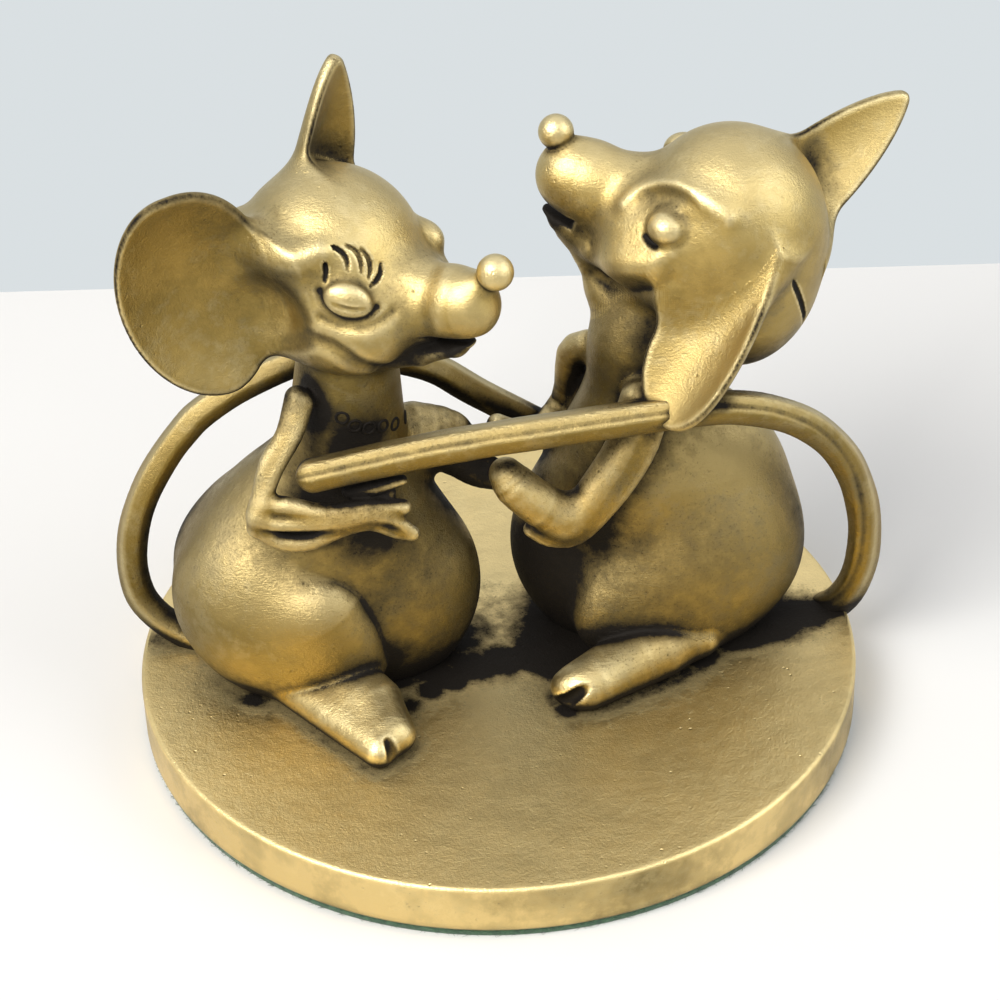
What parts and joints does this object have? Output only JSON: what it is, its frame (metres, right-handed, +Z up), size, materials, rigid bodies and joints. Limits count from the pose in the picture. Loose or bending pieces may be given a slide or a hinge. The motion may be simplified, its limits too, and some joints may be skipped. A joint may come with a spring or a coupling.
{
  "type": "animal figurine",
  "caption": "Cast metal ornament: two mice face to face on a round felted base, each tail a bar reaching to the other mouse.",
  "frame": {"origin": "centre of the felt's underside, where the figure rests", "axes": "+Z up from the resting face, +X to the viewer's right along the line of the two mice, +Y away from the viewer"},
  "size_m": [0.0769, 0.07, 0.0666],
  "materials": {
    "antique_brass": "satin cast, dark antique patina in the recesses",
    "green_felt": "matte felt"
  },
  "bodies": {
    "root": {"base": "antique_brass", "felt_pad": "green_felt", "left_body": "antique_brass", "left_far_arm": "antique_brass", "left_far_ear": "antique_brass", "left_far_foot": "antique_brass", "left_head": "antique_brass", "left_near_arm": "antique_brass", "left_near_ear": "antique_brass", "left_near_foot": "antique_brass", "left_tail": "antique_brass", "right_body": "antique_brass", "right_far_arm": "antique_brass", "right_far_ear": "antique_brass", "right_far_foot": "antique_brass", "right_head": "antique_brass", "right_near_arm": "antique_brass", "right_near_ear": "antique_brass", "right_near_foot": "antique_brass", "right_tail": "antique_brass"}
  },
  "joints": []
}
